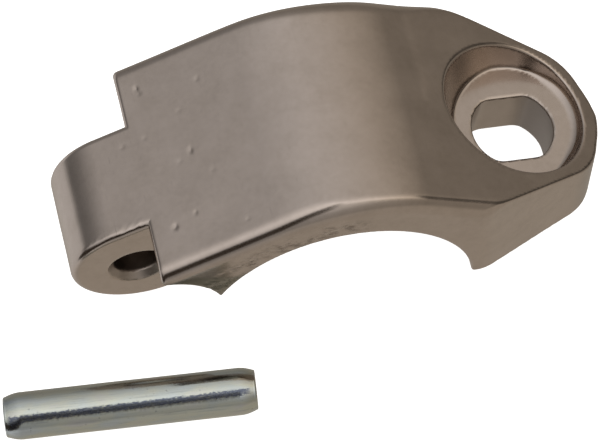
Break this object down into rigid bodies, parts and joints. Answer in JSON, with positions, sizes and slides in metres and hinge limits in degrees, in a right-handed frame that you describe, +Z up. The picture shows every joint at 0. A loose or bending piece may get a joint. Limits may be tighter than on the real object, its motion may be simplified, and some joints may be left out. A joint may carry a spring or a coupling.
{
  "type": "handlebar clamp",
  "caption": "Hinged outer half of a handlebar clamp: bent back, central knuckle with a pin bore, counterbored double-D bolt end, and its loose hinge pin.",
  "frame": {"origin": "on the handlebar's axis, midway across the clamp", "axes": "+Y along the handlebar, +X towards the bolt end, +Z up; the clamp stands on its knuckle and the tip of its nose"},
  "size_m": [0.0614, 0.0323, 0.02],
  "materials": {
    "clamp_metal": "satin bright plated casting, warm grey",
    "pin_metal": "zinc plated, cool grey"
  },
  "bodies": {
    "clamp": {"clamp": "clamp_metal"},
    "hinge_pin": {"hinge_pin": "pin_metal"}
  },
  "joints": [
    {"name": "pin_lift", "type": "slide", "parent": "clamp", "child": "hinge_pin", "axis": [0, 0, 1], "range_m": [0, 0.06]}
  ]
}
